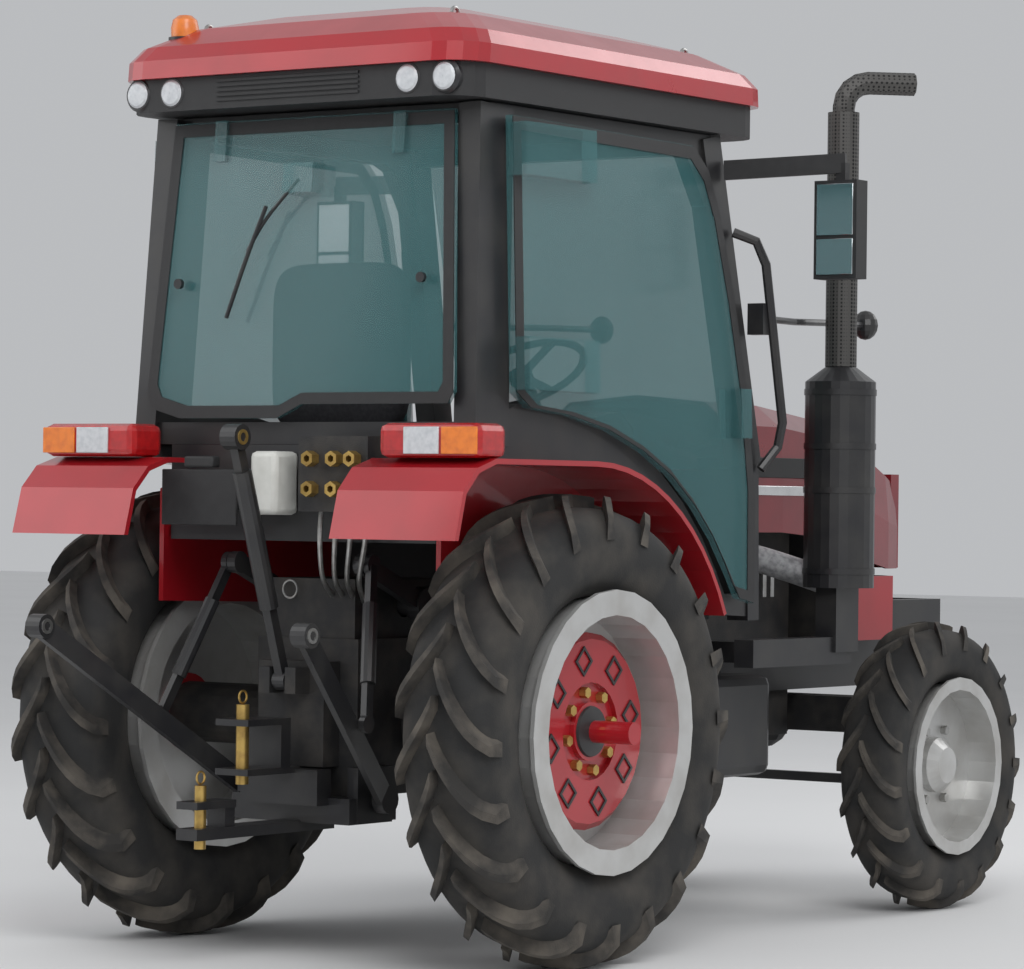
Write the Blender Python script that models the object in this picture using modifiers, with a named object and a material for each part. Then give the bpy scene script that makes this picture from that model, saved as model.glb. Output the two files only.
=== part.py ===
"""Compact cab tractor: every piece at its real size, ready to be joined and moved.

Frame: metres, +X to the tractor's right, +Y forwards, +Z up. The shapes are worked out from the middle
of the rear axle on the ground, and the empty "rear_axle_foot" then puts the middle of the whole
tractor's box on the world origin.
"""

import math

import bmesh
import bpy
from mathutils import Matrix, Vector

# ---------------------------------------------------------------- driving dimensions
WHEELBASE = 2.05
GAP = 0.0005                # between pieces that touch
RUNNING_GAP = 0.006         # between pieces that move past each other

REAR_RADIUS = 0.628         # rear tyre, tread tip, and so the height of the rear axle
REAR_WIDTH = 0.315
REAR_TRACK = 1.312          # between the middles of the rear tyres
REAR_FLANGE = 0.381         # rim flange radius of a 28 inch rim
REAR_FACETS = 36
FRONT_RADIUS = 0.440
FRONT_WIDTH = 0.210
FRONT_TRACK = 1.220
FRONT_FLANGE = 0.276        # rim flange radius of a 20 inch rim
FRONT_FACETS = 28
FLANGE_HEIGHT = 0.024       # rim flange above the bead seat

CHASSIS_HALF = 0.170        # half width of the gearbox and engine
GEARBOX_LOW = 0.44
GEARBOX_HIGH = 0.86
KINGPIN_X = 0.480           # from the middle plane to the kingpin
STEER_ARM = 0.160           # kingpin to tie rod pin

FLOOR_HIGH = 0.930          # top of the cab floor
DECK_HIGH = 1.170           # top of the raised deck behind the driver's feet
CAB_HALF = 0.580            # outside of the corner posts at the foot
CAB_HALF_TOP = 0.550        # and at the head
CAB_TOP = 2.285             # underside of the roof base
REAR_POST_Y = -0.285        # middle of the rear posts at the foot
REAR_POST_Y_TOP = -0.220
FRONT_POST_Y = 1.055        # middle of the front posts, below the knee
FRONT_POST_Y_TOP = 0.860
KNEE_Z = 1.350              # where the front posts start to lean back
RAIL_Z = 1.410              # middle of the rail below the rear window
POST = 0.070                # width of a post
REAR_POST_DEPTH = 0.150     # front to back, from the window to the door's hinge side
FRONT_POST_DEPTH = 0.090

ROOF_HALF = 0.600
ROOF_REAR = -0.420
ROOF_FRONT = 1.100
ROOF_SEAM = 2.375           # where the shell meets the roof base
ROOF_TOP = 2.575

DOOR_THICK = 0.020
DOOR_LEAN = math.radians(1.8)
HINGE_OUT = 0.035           # door hinge axis outside the pane's middle
DOOR_REAR = -0.185
DOOR_X = 0.600              # middle of the pane at hinge reference height
DOOR_REF_Z = 1.400
WINDOW_THICK = 0.012
WINDOW_LEAN = math.radians(4.2)
WINDOW_HINGE_Y = -0.282
WINDOW_HINGE_Z = 2.272

FENDER_INNER = 0.478
FENDER_OUTER = 0.745
FENDER_WALL = 0.014
FENDER_GAP = 0.072          # tread tip to the underside of the fender
FENDER_REAR = -0.640

HOOD_REAR = 1.310
HOOD_FRONT = 2.400
HOOD_WALL = 0.012
HOOD_HINGE_Y = 1.335
HOOD_HINGE_Z = 1.500
NOSE_REACH = 2.860          # weight carrier's front face ahead of the rear axle

MUFFLER_X = 0.600
MUFFLER_Y = 1.500
MUFFLER_RADIUS = 0.105
MUFFLER_LOW = 0.990
STACK_RADIUS = 0.047

ROCKSHAFT_Y = -0.050
ROCKSHAFT_Z = 0.950
LIFT_ARM_X = 0.215
LIFT_ARM_END = (-0.320, 1.060)      # y, z of the pin in the lift arm
LINK_PIVOT = (0.231, -0.234, 0.435)
LINK_BALL = (0.443, -0.859, 0.890)
LINK_BALL_RADIUS = 0.032
ROD_SHARE = 0.384           # how far along the lower link its lift rod takes hold
TOP_LINK_PIVOT = (-0.385, 0.749)    # y, z
TOP_LINK_BALL = (-0.601, 1.394)     # y, z, stowed upright

REAR_REACH = -(LINK_BALL[1] - LINK_BALL_RADIUS)
AXLE_Y = (REAR_REACH - NOSE_REACH) / 2      # the rear axle's place in the world

# colour, roughness, metallic
RED = ((0.55, 0.012, 0.022), 0.30, 0.35)
BLACK = ((0.018, 0.018, 0.020), 0.45, 0.0)
CASTING = ((0.030, 0.030, 0.032), 0.60, 0.2)
RUBBER = ((0.030, 0.029, 0.028), 0.85, 0.0)
SILVER = ((0.55, 0.56, 0.57), 0.35, 0.8)
GLASS = ((0.25, 0.45, 0.47), 0.05, 0.0)
LAMP = ((0.60, 0.02, 0.02), 0.20, 0.0)
FABRIC = ((0.05, 0.05, 0.055), 0.80, 0.0)


# ---------------------------------------------------------------- making and placing
def start_scene():
    """An empty scene with one collection for the pieces, one for the cutters and one placing empty."""
    for obj in list(bpy.data.objects):
        bpy.data.objects.remove(obj, do_unlink=True)
    parts = bpy.data.collections.new("farm_tractor")
    cutters = bpy.data.collections.new("tractor_cutters")
    for collection in (parts, cutters):
        bpy.context.scene.collection.children.link(collection)
    foot = bpy.data.objects.new("rear_axle_foot", None)
    foot.location = (0, AXLE_Y, 0)
    parts.objects.link(foot)
    return parts, cutters, foot


PARTS, CUTTERS, FOOT = start_scene()


def add(obj, finish):
    """Puts a finished piece in the tractor's collection, with a material of its own."""
    colour, roughness, metallic = finish
    material = bpy.data.materials.new(obj.name)
    material.use_nodes = True
    shader = material.node_tree.nodes["Principled BSDF"]
    shader.inputs["Base Color"].default_value = (*colour, 1)
    shader.inputs["Roughness"].default_value = roughness
    shader.inputs["Metallic"].default_value = metallic
    obj.data.materials.clear()
    obj.data.materials.append(material)
    if obj.name in CUTTERS.objects:
        CUTTERS.objects.unlink(obj)
    obj.hide_render = False
    obj.display_type = "TEXTURED"
    PARTS.objects.link(obj)
    if obj.type == "MESH":
        obj.data.shade_smooth()
        obj.data.set_sharp_from_angle(angle=math.radians(35))
    return obj


def shape(name, data, matrix=None):
    """A new object that waits among the cutters until add() takes it."""
    obj = bpy.data.objects.new(name, data)
    obj.parent = FOOT
    if matrix is not None:
        obj.matrix_local = matrix
    obj.hide_render = True
    obj.display_type = "WIRE"
    CUTTERS.objects.link(obj)
    return obj


def from_bmesh(name, work):
    mesh = bpy.data.meshes.new(name)
    work.to_mesh(mesh)
    work.free()
    return shape(name, mesh)


def box(name, low, high):
    low, high = Vector(low), Vector(high)
    corner = Vector(min(pair) for pair in zip(low, high))
    size = Vector(abs(a - b) for a, b in zip(low, high))
    work = bmesh.new()
    place = Matrix.Translation(corner + size / 2) @ Matrix.Diagonal((*size, 1))
    bmesh.ops.create_cube(work, size=1, matrix=place)
    return from_bmesh(name, work)


def along(start, end):
    """A matrix whose Z runs from start to end, whose X stays near the world's X, centred between them."""
    start, end = Vector(start), Vector(end)
    forward = (end - start).normalized()
    side = Vector((1, 0, 0)) if abs(forward.x) < 0.9 else Vector((0, 1, 0))
    side = (side - forward * side.dot(forward)).normalized()
    turn = Matrix((side, forward.cross(side), forward)).transposed()
    return Matrix.Translation((start + end) / 2) @ turn.to_4x4()


def beam(name, start, end, width, depth):
    """A square bar from start to end, width along X where it can be and depth across that."""
    work = bmesh.new()
    length = (Vector(end) - Vector(start)).length
    place = along(start, end) @ Matrix.Diagonal((width, depth, length, 1))
    bmesh.ops.create_cube(work, size=1, matrix=place)
    return from_bmesh(name, work)


def rod(name, start, end, radius, end_radius=None, segments=16):
    work = bmesh.new()
    length = (Vector(end) - Vector(start)).length
    bmesh.ops.create_cone(
        work,
        cap_ends=True,
        segments=segments,
        radius1=radius,
        radius2=radius if end_radius is None else end_radius,
        depth=length,
        matrix=along(start, end),
    )
    return from_bmesh(name, work)


def ball(name, centre, radius, stretch=(1, 1, 1)):
    work = bmesh.new()
    place = Matrix.Translation(centre) @ Matrix.Diagonal((*stretch, 1))
    bmesh.ops.create_uvsphere(work, u_segments=14, v_segments=8, radius=radius, matrix=place)
    return from_bmesh(name, work)


def to_mesh(obj):
    """Turns a curve into a closed mesh object of the same name, so that a Boolean can use it."""
    graph = bpy.context.evaluated_depsgraph_get()
    mesh = bpy.data.meshes.new_from_object(obj.evaluated_get(graph))
    work = bmesh.new()
    work.from_mesh(mesh)
    bmesh.ops.remove_doubles(work, verts=work.verts, dist=1e-5)
    work.to_mesh(mesh)
    work.free()
    name, place = obj.name, obj.matrix_local.copy()
    bpy.data.objects.remove(obj, do_unlink=True)
    mesh.transform(place)
    return shape(name, mesh)


# which way the thickness of a flat outline runs, and what its two coordinates then are
OUTLINE_TURN = {
    "X": Matrix(((0, 0, 1), (1, 0, 0), (0, 1, 0))),     # outline in y, z
    "Y": Matrix(((1, 0, 0), (0, 0, -1), (0, 1, 0))),    # outline in x, z
    "Z": Matrix(((1, 0, 0), (0, 1, 0), (0, 0, 1))),     # outline in x, y
}


def prism(name, outline, axis, low, high):
    """A flat outline with thickness from low to high along one axis."""
    curve = bpy.data.curves.new(name, "CURVE")
    curve.dimensions = "2D"
    curve.fill_mode = "BOTH"
    curve.extrude = abs(high - low) / 2
    spline = curve.splines.new("POLY")
    spline.points.add(len(outline) - 1)
    for point, (a, b) in zip(spline.points, outline):
        point.co = (a, b, 0, 1)
    spline.use_cyclic_u = True
    middle = Vector([(low + high) / 2 if letter == axis else 0 for letter in "XYZ"])
    return to_mesh(shape(name, curve, Matrix.Translation(middle) @ OUTLINE_TURN[axis].to_4x4()))


def tube(name, points, radius):
    """A bent tube or bar of round section, with filled ends."""
    curve = bpy.data.curves.new(name, "CURVE")
    curve.dimensions = "3D"
    curve.bevel_depth = radius
    curve.bevel_resolution = 2
    curve.use_fill_caps = True
    spline = curve.splines.new("POLY")
    spline.points.add(len(points) - 1)
    for point, place in zip(spline.points, points):
        point.co = (*place, 1)
    return to_mesh(shape(name, curve))


def turned(name, profile, centre, side=1, steps=32, axis="X", start=0.0):
    """A turned piece. The profile is (radius, height) down the outer side and up the inner one.

    Height runs outwards along the axis: +X on the right side, -X on the left one, or +Z.
    """
    mesh = bpy.data.meshes.new(name)
    points = [(radius, 0, height) for radius, height in profile]
    count = len(points)
    closed = profile[0][0] > 0
    edges = [(i, (i + 1) % count) for i in range(count if closed else count - 1)]
    mesh.from_pydata(points, edges, [])
    tip = Matrix.Rotation(side * math.pi / 2, 4, "Y") if axis == "X" else Matrix.Identity(4)
    obj = shape(name, mesh, Matrix.Translation(centre) @ tip @ Matrix.Rotation(start, 4, "Z"))
    screw = obj.modifiers.new("turn", "SCREW")
    screw.steps = screw.render_steps = steps
    screw.use_merge_vertices = True
    screw.merge_threshold = 1e-5
    screw.use_smooth_shade = False
    return obj


def loft(name, sections):
    """A closed solid through rings of equally many points, with flat ends."""
    work = bmesh.new()
    rings = [[work.verts.new(point) for point in ring] for ring in sections]
    count = len(rings[0])
    for one, two in zip(rings, rings[1:]):
        for i in range(count):
            j = (i + 1) % count
            work.faces.new((one[i], one[j], two[j], two[i]))
    work.faces.new(rings[0][::-1])
    work.faces.new(rings[-1])
    bmesh.ops.recalc_face_normals(work, faces=work.faces)
    return from_bmesh(name, work)


def combine(target, operation, others):
    for other in others:
        boolean = target.modifiers.new(other.name, "BOOLEAN")
        boolean.operation = operation
        boolean.object = other
        boolean.solver = "EXACT"
    return target


def join(target, *others):
    return combine(target, "UNION", others)


def cut(target, *others):
    return combine(target, "DIFFERENCE", others)


def settle(obj):
    """Applies a piece's modifiers, so that it can be leaned or its origin moved."""
    graph = bpy.context.evaluated_depsgraph_get()
    mesh = bpy.data.meshes.new_from_object(obj.evaluated_get(graph))
    used = [m.object for m in obj.modifiers if m.type == "BOOLEAN"]
    obj.modifiers.clear()
    obj.data = mesh
    for other in used:
        bpy.data.objects.remove(other, do_unlink=True)
    return obj


def pivot(obj, point):
    """Moves a piece's origin to a point on its joint's axis."""
    settle(obj)
    obj.data.transform(Matrix.Translation(-Vector(point)) @ obj.matrix_local)
    obj.matrix_local = Matrix.Translation(point)
    return obj


def lean(obj, point, angle, axis):
    """Turns a settled piece about an axis through a point."""
    settle(obj)
    about = Matrix.Translation(point) @ Matrix.Rotation(angle, 4, axis) @ Matrix.Translation(-Vector(point))
    obj.data.transform(about)
    return obj


def sided(side, point):
    return (side * point[0], *point[1:])


def arc(centre, radius, start, end, count):
    """Points on a circle in a plane, from one angle to another in degrees."""
    steps = [math.radians(start + (end - start) * i / (count - 1)) for i in range(count)]
    return [(centre[0] + radius * math.cos(a), centre[1] + radius * math.sin(a)) for a in steps]


SIDES = (("right", 1), ("left", -1))


# ---------------------------------------------------------------- wheels
def flat_down(steps):
    """Turns a wheel by half a step, so that a flat of its tread lies on the ground."""
    return math.pi / steps


def tyre(name, side, centre, radius, width, flange, steps):
    """A tyre as a turned ring: tread, shoulders, side walls and beads."""
    half = width / 2
    corner = radius / math.cos(math.pi / steps)
    bead = flange - FLANGE_HEIGHT
    profile = [
        (bead, half * 0.86), ((flange + corner) / 2, half), (corner - 0.04, half * 0.97), (corner, half * 0.86),
        (corner, -half * 0.86), (corner - 0.04, -half * 0.97), ((flange + corner) / 2, -half), (bead, -half * 0.86),
    ]
    return turned(name, profile, centre, side, steps, start=flat_down(steps))


def rim_profile(flange, width, facets, wall, disc, hole):
    """A rim's section: lips, bead seat, barrel, and a disc from its inner to its outer face."""
    seat = (flange - FLANGE_HEIGHT) * math.cos(math.pi / facets) - 2 * GAP
    face, lip = width / 2 * 0.90, width / 2 * 0.98
    inner = seat - wall
    back, front = disc
    return [
        (inner, lip), (flange - 0.004, lip), (flange - 0.004, face), (seat, face),
        (seat, -face), (flange - 0.004, -face), (flange - 0.004, -lip), (inner, -lip),
        (inner, back), (hole, back), (hole, front), (inner, front),
    ]


def rear_rim(name, side, centre):
    """Rim with its disc set a little outwards of the middle."""
    profile = rim_profile(REAR_FLANGE, REAR_WIDTH, REAR_FACETS, 0.045, (0.0, 0.012), 0.11)
    return turned(name, profile, centre, side, 28)


def rear_weight(name, side, centre):
    """The cast weight ring on the disc, with the hub and the bar axle that stands out of it."""
    profile = [
        (0.0, 0.215), (0.030, 0.215), (0.030, 0.075), (0.078, 0.075), (0.078, 0.060),
        (0.130, 0.060), (0.130, 0.075), (0.245, 0.075), (0.262, 0.060), (0.262, 0.0125),
        (0.108, 0.0125), (0.108, -0.010), (0.0, -0.010),
    ]
    return turned(name, profile, centre, side, 24)


def front_rim(name, side, centre):
    """Rim whose disc carries the hub's cap."""
    profile = rim_profile(FRONT_FLANGE, FRONT_WIDTH, FRONT_FACETS, 0.016, (0.0, 0.008), 0.075)
    return turned(name, profile, centre, side, 24)


def front_cap(name, side, centre):
    profile = [(0.0, 0.062), (0.055, 0.062), (0.085, 0.035), (0.085, 0.002), (0.0, 0.002)]
    return turned(name, profile, centre, side, 24)


def wheels():
    for word, side in SIDES:
        rear = (side * REAR_TRACK / 2, 0, REAR_RADIUS)
        front = (side * FRONT_TRACK / 2, WHEELBASE, FRONT_RADIUS)
        add(tyre("rear_tyre_" + word, side, rear, REAR_RADIUS, REAR_WIDTH, REAR_FLANGE, REAR_FACETS), RUBBER)
        add(rear_rim("rear_rim_" + word, side, rear), SILVER)
        add(rear_weight("rear_weight_" + word, side, rear), RED)
        add(tyre("front_tyre_" + word, side, front, FRONT_RADIUS, FRONT_WIDTH, FRONT_FLANGE, FRONT_FACETS), RUBBER)
        add(join(front_rim("front_rim_" + word, side, front), front_cap("front_cap_" + word, side, front)), SILVER)


# ---------------------------------------------------------------- chassis
def gearbox():
    """Gearbox and rear axle casting, with the lift cover on top, which the rockshaft runs through."""
    half = CHASSIS_HALF
    body = box("transmission", (-half, -0.28, GEARBOX_LOW), (half, 1.22, GEARBOX_HIGH))
    reach = REAR_TRACK / 2 - 0.011
    join(
        body,
        box("lift_cover", (-0.15, -0.27, GEARBOX_HIGH - 0.02), (0.15, 0.12, ROCKSHAFT_Z + 0.07)),
        rod("axle_trumpets", (-reach, 0, REAR_RADIUS), (reach, 0, REAR_RADIUS), 0.085, segments=20),
        box("power_take_off_case", (-0.11, -0.35, 0.52), (0.11, -0.26, 0.80)),
        box("top_link_bracket", (-0.062, -0.412, 0.715), (0.062, -0.34, 0.785)),
    )
    slot_half = 0.026
    cut(
        body,
        rod("rockshaft_bore", (-0.2, ROCKSHAFT_Y, ROCKSHAFT_Z), (0.2, ROCKSHAFT_Y, ROCKSHAFT_Z), 0.035, segments=24),
        box("top_link_slot", (-slot_half, -0.43, 0.70), (slot_half, -0.353, 0.80)),
    )
    add(body, CASTING)


def engine_bay():
    half = CHASSIS_HALF
    add(box("engine_block", (-half + 0.005, 1.22 + GAP, 0.52), (half - 0.005, 1.935, 1.15)), CASTING)
    add(box("radiator", (-0.24, 2.03, 0.815), (0.24, 2.12, 1.38)), BLACK)
    frame = box("front_frame", (-0.19, 1.985, 0.66), (0.19, 2.70, 0.81))
    join(
        frame,
        box("frame_arm_right", (half + 0.001, 1.50, 0.66), (0.19, 2.05, 0.78)),
        box("frame_arm_left", (-half - 0.001, 1.50, 0.66), (-0.19, 2.05, 0.78)),
        box("weight_carrier", (-0.19, 2.435, 0.80), (0.19, NOSE_REACH, 0.93)),
    )
    cut(frame, box("carrier_slot", (-0.15, 2.55, 0.85), (0.15, NOSE_REACH - 0.02, 0.99)))
    add(frame, BLACK)
    outer, inner, back, front = 0.295, 0.283, 1.99, 2.42
    shroud = [
        (outer, back), (outer, front - 0.06), (outer - 0.06, front), (-outer + 0.06, front),
        (-outer, front - 0.06), (-outer, back), (-inner, back), (-inner, front - 0.066),
        (-inner + 0.054, front - 0.012), (inner - 0.054, front - 0.012), (inner, front - 0.066), (inner, back),
    ]
    add(prism("front_shroud", shroud, "Z", 0.8105, 1.012), RED)


def front_axle():
    """Beam on a pivot under the front frame, with a housing at each kingpin and the drive shaft to it."""
    y = WHEELBASE
    beam_low, beam_high = 0.53, 0.64
    body = box("front_axle_beam", (-KINGPIN_X, y - 0.06, beam_low), (KINGPIN_X, y + 0.06, beam_high))
    join(
        body,
        ball("front_differential", (0, y, 0.56), 0.095),
        rod("front_drive_shaft", (0, 1.23, 0.470), (0, y - 0.05, 0.490), 0.022, segments=12),
    )
    for word, side in SIDES:
        x = side * KINGPIN_X
        join(body, rod("king_housing_" + word, (x, y, beam_low), (x, y, beam_high + 0.002), 0.070, segments=20))
    add(body, CASTING)
    for word, side in SIDES:
        x = side * KINGPIN_X
        knuckle = rod("knuckle_" + word, (x, y, 0.345), (x, y, beam_low - RUNNING_GAP), 0.072, segments=20)
        hub_end = side * (FRONT_TRACK / 2 - GAP)
        arm_y = y - STEER_ARM
        join(
            knuckle,
            rod("front_hub_" + word, (x, y, FRONT_RADIUS), (hub_end, y, FRONT_RADIUS), 0.068, segments=20),
            box("steer_arm_" + word, (x - 0.017, arm_y, 0.355), (x + 0.017, y, 0.375)),
            rod("steer_arm_eye_" + word, (x, arm_y, 0.355), (x, arm_y, 0.375), 0.020),
        )
        add(pivot(knuckle, (x, y, FRONT_RADIUS)), CASTING)
    arm_y = y - STEER_ARM
    bar_low, bar_high = 0.375 + RUNNING_GAP, 0.375 + RUNNING_GAP + 0.028
    tie = box("tie_rod", (-KINGPIN_X, arm_y - 0.012, bar_low), (KINGPIN_X, arm_y + 0.012, bar_high))
    for word, side in SIDES:
        x = side * KINGPIN_X
        join(tie, rod("tie_rod_eye_" + word, (x, arm_y, bar_low - 0.001), (x, arm_y, bar_high + 0.001), 0.0185))
    add(pivot(tie, (-KINGPIN_X, arm_y, bar_low)), BLACK)


def tank_and_step():
    tank = box("fuel_tank", (0.26, 0.72, 0.44), (0.50, 1.30, 0.735))
    bevel = tank.modifiers.new("rounding", "BEVEL")
    bevel.width, bevel.segments = 0.03, 2
    add(tank, BLACK)
    step = box("left_step", (-0.50, 0.72, 0.44), (-0.26, 1.30, 0.735))
    for count, z in enumerate((0.36, 0.60)):
        join(step, box("tread_%d" % count, (-0.68, 0.82, z), (-0.49, 1.16, z + 0.03)))
    for count, y in enumerate((0.82, 1.145)):
        join(step, box("step_side_%d" % count, (-0.66, y, 0.365), (-0.492, y + 0.015, 0.72)))
    add(step, BLACK)


# ---------------------------------------------------------------- cab
def door_low_edge():
    """The door's lower edge over the fender, from the hinge side to the front, as y, z."""
    return [
        (DOOR_REAR, 1.520), (-0.120, 1.480), (0.060, 1.465), (0.250, 1.430), (0.420, 1.375),
        (0.560, 1.310), (0.680, 1.225), (0.780, 1.130), (0.860, 1.030), (0.905, 0.965), (0.985, 0.950),
    ]


def floor_and_panel():
    half = FENDER_INNER - FENDER_WALL - 0.001 - 0.012
    outline = [
        (1.02, FLOOR_HIGH - 0.03), (1.02, FLOOR_HIGH), (0.45, FLOOR_HIGH), (0.45, DECK_HIGH),
        (-0.295, DECK_HIGH), (-0.295, DECK_HIGH - 0.03), (0.42, DECK_HIGH - 0.03), (0.42, FLOOR_HIGH - 0.03),
    ]
    floor = prism("cab_floor", outline, "X", -half, half)
    join(floor, box("seat_pedestal", (-0.16, -0.05, DECK_HIGH - 0.01), (0.16, 0.33, 1.30)))
    add(floor, BLACK)
    low = DECK_HIGH - 0.05
    panel = box("rear_panel", (-half, -0.320, low), (half, -0.300, RAIL_Z - 0.031))
    add(panel, BLACK)


# the plate in the upper front corner of each door opening, as y, z
GUSSET = ((0.600, 2.262), (0.855, 2.262), (0.885, 2.080), (0.830, 2.080), (0.740, 2.210))


def cab_frame():
    """Posts, rails and the lower front wall, welded into one frame, with arch rails under the doors."""
    half, top = CAB_HALF - POST / 2, CAB_HALF_TOP - POST / 2
    high = CAB_TOP - 0.03
    frame = box("cab_frame", (-0.53, FRONT_POST_Y - 0.015, FLOOR_HIGH - 0.01), (0.53, FRONT_POST_Y + 0.015, 1.33))
    rear_foot, rear_head = (half, REAR_POST_Y + 0.032, RAIL_Z - 0.03), (top, REAR_POST_Y_TOP + 0.016, high + 0.02)
    front_foot = (half, FRONT_POST_Y, FLOOR_HIGH - 0.03)
    knee, front_head = (half, FRONT_POST_Y - 0.010, KNEE_Z), (top, FRONT_POST_Y_TOP - 0.010, high + 0.02)
    for word, side in SIDES:
        join(
            frame,
            beam("rear_post_" + word, sided(side, rear_foot), sided(side, rear_head), POST, REAR_POST_DEPTH),
            beam("front_post_" + word, sided(side, front_foot), sided(side, knee), POST, 0.06),
            beam("front_post_top_" + word, sided(side, knee), sided(side, front_head), POST - 0.002, FRONT_POST_DEPTH),
            box("side_rail_" + word, (side * (top - 0.025), REAR_POST_Y_TOP, high - 0.027), (side * (top + 0.025), FRONT_POST_Y_TOP, high + 0.027)),
            prism("corner_gusset_" + word, GUSSET, "X", side * (top - 0.020), side * (top + 0.024)),
        )
        inner = FENDER_GAP + REAR_RADIUS + FENDER_WALL + 0.003
        under = arc((0, REAR_RADIUS), inner, 25, 90, 12)
        over = [(y, z + 0.012) for y, z in door_low_edge()[1:-1]]
        rail = [*under, (REAR_POST_Y, under[-1][1]), (REAR_POST_Y, RAIL_Z + 0.03), *over, (FRONT_POST_Y, 0.977)]
        rail.append((FRONT_POST_Y, 0.91))
        join(frame, prism("arch_rail_" + word, rail, "X", side * 0.52, side * 0.575))
    across = half - 0.01
    # name, y, z, width across y, height
    for name, y, z, deep, tall in (
        ("rear_low_rail", REAR_POST_Y, RAIL_Z, 0.05, 0.06),
        ("rear_top_rail", REAR_POST_Y_TOP, high, 0.05, 0.052),
        ("front_top_rail", FRONT_POST_Y_TOP, high, 0.05, 0.050),
    ):
        reach = across if z < 2 else top
        join(frame, box(name, (-reach, y - deep / 2, z - tall / 2), (reach, y + deep / 2, z + tall / 2)))
    add(frame, BLACK)


def windscreen():
    """A sheet of glass bowed forwards, from the lower wall to the front top rail."""
    rings = []
    # height, y of the side edges, how far the middle bows forwards
    for z, edge, bow in ((1.335, 1.105, 0.09), (1.60, 1.062, 0.10), (2.10, 0.945, 0.10), (2.28, 0.900, 0.09)):
        half, thick = 0.49, 0.008
        share = [-1 + i / 4 for i in range(9)]
        front = [(half * s, edge + thick + bow * (1 - s * s), z) for s in share]
        back = [(half * s, edge + bow * (1 - s * s), z) for s in reversed(share)]
        rings.append(front + back)
    add(loft("windscreen", rings), GLASS)


def roof():
    def outline(half, rear, front, corner):
        points = []
        for x, y, start in (
            (half - corner, front - corner, 0), (-half + corner, front - corner, 90),
            (-half + corner, rear + corner, 180), (half - corner, rear + corner, 270),
        ):
            points += arc((x, y), corner, start, start + 90, 5)
        return points

    base = prism("roof_base", outline(ROOF_HALF - 0.02, ROOF_REAR + 0.02, ROOF_FRONT - 0.02, 0.10), "Z", CAB_TOP + GAP, ROOF_SEAM)
    add(base, BLACK)
    rings = []
    # height share of the crown, inset at the sides, inset at the ends
    for share, sides, ends in ((0, 0, 0), (0.25, 0.0, 0.005), (0.45, 0.03, 0.03), (0.72, 0.13, 0.12), (0.92, 0.28, 0.28), (1, 0.42, 0.45)):
        z = ROOF_SEAM + GAP + share * (ROOF_TOP - ROOF_SEAM - GAP)
        ring = outline(ROOF_HALF - sides, ROOF_REAR + ends, ROOF_FRONT - ends, 0.11)
        rings.append([(x, y, z) for x, y in ring])
    add(loft("roof_shell", rings), RED)


def hinge_point(side):
    """A point on a door's hinge axis, which leans with the cab's side."""
    return (side * (DOOR_X + HINGE_OUT), DOOR_REAR - 0.030, DOOR_REF_Z)


def doors():
    """Each door is one pane with its hinge covers and handle, leaned in with the cab's side."""
    front = [(0.998, 1.250), (0.965, 1.550), (0.905, 1.815), (0.832, 2.060), (0.775, 2.175), (0.700, 2.238)]
    outline = [*door_low_edge(), *front, (DOOR_REAR, 2.250)]
    for word, side in SIDES:
        near, far = side * (DOOR_X - DOOR_THICK / 2), side * (DOOR_X + DOOR_THICK / 2)
        door = prism("door_" + word, outline, "X", near, far)
        for count, z in enumerate((1.595, 2.160)):
            low, high = (side * (DOOR_X + 0.002), DOOR_REAR - 0.005, z - 0.07), (side * (DOOR_X + 0.06), 0.14, z + 0.07)
            join(door, box("hinge_cover_%s_%d" % (word, count), low, high))
        join(door, box("door_handle_" + word, (side * (DOOR_X - 0.03), 0.88, 1.42), (side * (DOOR_X + 0.045), 0.935, 1.56)))
        lean(door, (side * DOOR_X, 0, DOOR_REF_Z), -side * DOOR_LEAN, "Y")
        add(pivot(door, hinge_point(side)), GLASS)


def rear_window():
    """A pane hung from its top edge, lower on its left, with two hinge arms on its outside."""
    low_right, low_left = 1.485, 1.447
    outline = [
        (-0.475, 2.262), (0.475, 2.262), (0.522, low_right + 0.03), (0.505, low_right), (0.02, low_right),
        (-0.06, low_left), (-0.40, low_left), (-0.500, low_right - 0.01), (-0.522, low_right + 0.03),
    ]
    rear = WINDOW_HINGE_Y - 0.006
    window = prism("rear_window", outline, "Y", rear, rear + WINDOW_THICK)
    for word, side in SIDES:
        x = side * 0.304
        low, high = (x - 0.02, rear - 0.014, 2.15), (x + 0.02, rear + 0.004, WINDOW_HINGE_Z - 0.010)
        join(window, box("window_hinge_" + word, low, high))
    join(window, box("wiper_motor", (-0.05, rear - 0.05, 2.05), (0.05, rear + 0.004, 2.13)))
    hinge = (0, WINDOW_HINGE_Y, WINDOW_HINGE_Z)
    lean(window, hinge, -WINDOW_LEAN, "X")
    add(pivot(window, hinge), GLASS)


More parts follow.
